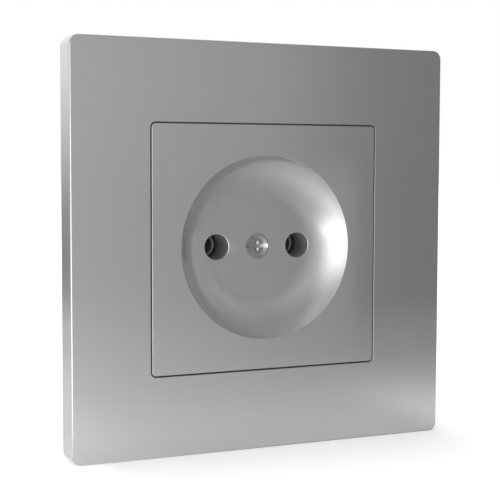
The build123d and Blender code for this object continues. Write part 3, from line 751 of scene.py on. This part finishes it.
# The mirrored glow is painted reflection: graded across and along the paper, with a painted sheen for low rays and
# more glow for steep ones.
mirrored = nodes.new("ShaderNodeEmission")
glow_across = along_axis(nodes, links, place, "X", PAPER_ACROSS)
glow_along = along_axis(nodes, links, place, "Y", PAPER_ALONG)
slant = nodes.new("ShaderNodeLayerWeight")
by_slant = nodes.new("ShaderNodeCombineXYZ")
for axis, angles, levels in (("X", LOW_RAYS, PLAIN_LEVELS), ("Y", LOW_RAYS, PAINTED_SHEEN_LEVELS),
                             ("Z", STEEP_RAYS, STEEP_LEVELS)):
    share = ranged(nodes, angles, levels)
    links.new(slant.outputs["Facing"], share.inputs["Value"])
    links.new(share.outputs["Result"], by_slant.inputs[axis])
slanted = nodes.new("ShaderNodeMix")
slanted.data_type = "RGBA"
slanted.blend_type = "MULTIPLY"
slanted.inputs["Factor"].default_value = 1.0
links.new(glow_along.outputs["Color"], slanted.inputs["A"])
links.new(by_slant.outputs["Vector"], slanted.inputs["B"])
links.new(crossed(nodes, links, glow_across.outputs["Color"], slanted.outputs["Result"]), mirrored.inputs["Strength"])
either = nodes.new("ShaderNodeMixShader")
links.new(rays.outputs["Is Glossy Ray"], either.inputs["Fac"])
links.new(shader.outputs["BSDF"], either.inputs[1])
links.new(mirrored.outputs["Emission"], either.inputs[2])
links.new(either.outputs["Shader"], nodes["Material Output"].inputs["Surface"])
bm = bmesh.new()
bmesh.ops.create_grid(bm, x_segments=1, y_segments=1, size=PAPER_REACH,
                      matrix=Matrix.Translation((0, 0, PAPER_LEVEL)))
set_up(bm, "paper_sweep", paper)

# Light tent: a dome of grey cloth that only the gloss of the socket mirrors, its glow painted as a reflection with no
# lamp behind it: brightest low on the left, and behind on the left brighter towards the top.
TENT_R = 0.22
TENT_GORES = 96
TENT_HOOPS = 48
TENT_ROUND = ((-180, 0.09, 0, 0.63), (-140, 0.11, 0.1, 0.82), (-115, 0.4, 0.5, 0), (-90, 0.4, 1.1, 0),
              (-72, 0.4, 2.9, 0), (-45, 0.4, 2.9, 0), (-30, 0.4, 1.75, 0), (-15, 0.41, 0.72, 0), (5, 0.39, 0.19, 0.1),
              (13.5, 0.38, 0.1, 0.1), (24.7, 0.37, 0, 0.06), (34.6, 0.42, 0, 0.07), (41.7, 0.46, 0, 0.1),
              (47, 0.48, 0, 0.05), (53, 0.48, 0, 0), (66, 0.5, 0, 0), (80, 0.72, 0, 0), (120, 0.8, 0, 0),
              (180, 0.09, 0, 0.63))
TENT_HIGH = ((-43, 1, 1.12, 0.9), (-30, 1, 1.12, 0.24), (-20, 1, 1.08, 0.14), (0, 1, 1.02, 0.24),
             (25, 1, 0.91, 0.84), (50, 1, 0.76, 1.45), (75, 0.9, 0.52, 1.7), (100, 0.8, 0.33, 1.7),
             (125, 0.74, 0.2, 1.3), (180, 0.7, 0.13, 0.6))


def only_mirrored(surface):
    """Keeps a surface out of every view but the one in the socket's gloss."""
    surface.visible_camera = False
    surface.visible_diffuse = False
    surface.visible_shadow = False
    surface.visible_transmission = False


cloth = bpy.data.materials.new("tent_cloth")
cloth.use_nodes = True
nodes, links = cloth.node_tree.nodes, cloth.node_tree.links
nodes.remove(nodes["Principled BSDF"])
place = nodes.new("ShaderNodeTexCoord")
face_front = nodes.new("ShaderNodeMapping")
face_front.inputs["Rotation"].default_value = (0, 0, math.radians(90))
around = nodes.new("ShaderNodeTexGradient")
around.gradient_type = "RADIAL"
tent_glow_round = graded(nodes, TENT_ROUND)
tent_glow_up = along_axis(nodes, links, place, "Z", TENT_HIGH)
painted_tent_glow = nodes.new("ShaderNodeEmission")
links.new(place.outputs["Object"], face_front.inputs["Vector"])
links.new(face_front.outputs["Vector"], around.inputs["Vector"])
links.new(around.outputs["Fac"], tent_glow_round.inputs["Fac"])
links.new(crossed(nodes, links, tent_glow_round.outputs["Color"], tent_glow_up.outputs["Color"]), painted_tent_glow.inputs["Strength"])
links.new(painted_tent_glow.outputs["Emission"], nodes["Material Output"].inputs["Surface"])
bm = bmesh.new()
bmesh.ops.create_uvsphere(bm, u_segments=TENT_GORES, v_segments=TENT_HOOPS, radius=TENT_R)
bmesh.ops.translate(bm, vec=(0, 0, PAPER_LEVEL), verts=bm.verts)
bmesh.ops.bisect_plane(bm, geom=bm.verts[:] + bm.edges[:] + bm.faces[:], plane_co=(0, 0, PAPER_LEVEL),
                       plane_no=(0, 0, 1), clear_inner=True)
only_mirrored(set_up(bm, "light_tent", cloth))

# Graded gel: a grey filter film that hangs close before the right half of the socket and deepens to the right.
# Only the gloss of the socket is mirrored through it, so it paints shade into the reflections on the socket's right
# half. It is clear towards the paper and lighter before the dish.
GEL_MIDDLE = (0.04, -0.01, 0.0135)
GEL_WIDTH = 0.08
GEL_HEIGHT = 0.113
GEL_ACROSS = ((0, 1, 0, 0), (4, 0.963, 0.02, 0.037), (12, 0.775, 0.16, 0.225), (17, 0.66, 0.3, 0.34),
              (22, 0.55, 0.27, 0.45), (25, 0.5, 0, 0.5), (32, 0.395, 0, 0.605), (42, 0.31, 0, 0.69),
              (80, 0.295, 0, 0.705))
GEL_HIGH = ((-43, 1, 0, 1), (-34, 1, 0, 1), (-20, 1, 0.2, 0.5), (-13, 1, 0.9, 0.02), (-8, 1, 1, 0), (12, 1, 1, 0),
            (20, 1, 0, 0), (70, 1, 0, 0))
film = bpy.data.materials.new("graded_gel")
film.use_nodes = True
nodes, links = film.node_tree.nodes, film.node_tree.links
nodes.remove(nodes["Principled BSDF"])
place = nodes.new("ShaderNodeTexCoord")
deepens = along_axis(nodes, links, place, "X", GEL_ACROSS)
clears = along_axis(nodes, links, place, "Z", GEL_HIGH)
let_through = nodes.new("ShaderNodeBsdfTransparent")
links.new(crossed(nodes, links, deepens.outputs["Color"], clears.outputs["Color"]), let_through.inputs["Color"])
links.new(let_through.outputs["BSDF"], nodes["Material Output"].inputs["Surface"])
bm = bmesh.new()
hanging = Matrix.Translation(GEL_MIDDLE) @ Matrix.Rotation(math.radians(90), 4, "X")
bmesh.ops.create_grid(bm, x_segments=1, y_segments=1, size=0.5,
                      matrix=hanging @ Matrix.Diagonal((GEL_WIDTH, GEL_HEIGHT, 1, 1)))
only_mirrored(set_up(bm, "graded_gel", film))

# Lamps: a soft box overhead that lights the paper, a weak fill beside the camera that reaches into the pin
# holes, and a plain white room beyond the tent.
SOFTBOX_PLACE = (-0.03, 0.045, 0.26)
SOFTBOX_WIDTH = 0.3
SOFTBOX_WATTS = 0.85
FILL_PLACE = (-0.125, -0.27, 0.03)
FILL_WIDTH = 0.06
FILL_WATTS = 0.084
ROOM_LEVELS = (0.4, 1.0)


def soft_lamp(name, width, watts, place):
    """Hangs up a round lamp that faces down and that the gloss doesn't mirror, and gives it."""
    lamp = bpy.data.lights.new(name, "AREA")
    lamp.shape = "DISK"
    lamp.size = width
    lamp.energy = watts
    hung = bpy.data.objects.new(name, lamp)
    bpy.context.scene.collection.objects.link(hung)
    hung.location = place
    hung.visible_glossy = False
    return hung


soft_lamp("overhead_softbox", SOFTBOX_WIDTH, SOFTBOX_WATTS, SOFTBOX_PLACE)
fill = soft_lamp("front_fill", FILL_WIDTH, FILL_WATTS, FILL_PLACE)
fill.rotation_euler = (-Vector(FILL_PLACE)).to_track_quat("-Z", "Y").to_euler()
world = bpy.data.worlds.new("white_room")
world.use_nodes = True
nodes, links = world.node_tree.nodes, world.node_tree.links
rays = nodes.new("ShaderNodeLightPath")
shown = combined(nodes, links, "MAXIMUM", rays.outputs["Is Camera Ray"], rays.outputs["Is Glossy Ray"])
shown = combined(nodes, links, "MAXIMUM", shown, rays.outputs["Is Transmission Ray"])
level = ranged(nodes, (0, 1), ROOM_LEVELS)
links.new(shown, level.inputs["Value"])
links.new(level.outputs["Result"], nodes["Background"].inputs["Strength"])
nodes["Background"].inputs["Color"].default_value = WHITE
bpy.context.scene.world = world

# Camera: a long lens to the left of the socket and a little above its middle, as far off as the photograph's
# straight edges and the ovals of its holes ask for.
SENSOR_WIDTH = 36
FOCAL_LENGTH = 88.2336
CAMERA_PLACE = (-0.1111683, -0.239845, 0.017839)
CAMERA_RIGHT = (0.9089598, -0.4168725, 0.0030640)
CAMERA_UP = (0.0267944, 0.0657548, 0.9974760)
CAMERA_BACK = (-0.4160218, -0.9065835, 0.0709383)
lens = bpy.data.cameras.new("photo_view")
lens.sensor_width = SENSOR_WIDTH
lens.lens = FOCAL_LENGTH
camera = bpy.data.objects.new("photo_view", lens)
bpy.context.scene.collection.objects.link(camera)
aim = Matrix((CAMERA_RIGHT, CAMERA_UP, CAMERA_BACK)).transposed().to_4x4()
camera.matrix_world = Matrix.Translation(CAMERA_PLACE) @ aim
bpy.context.scene.camera = camera
bpy.context.scene.view_settings.view_transform = "Standard"
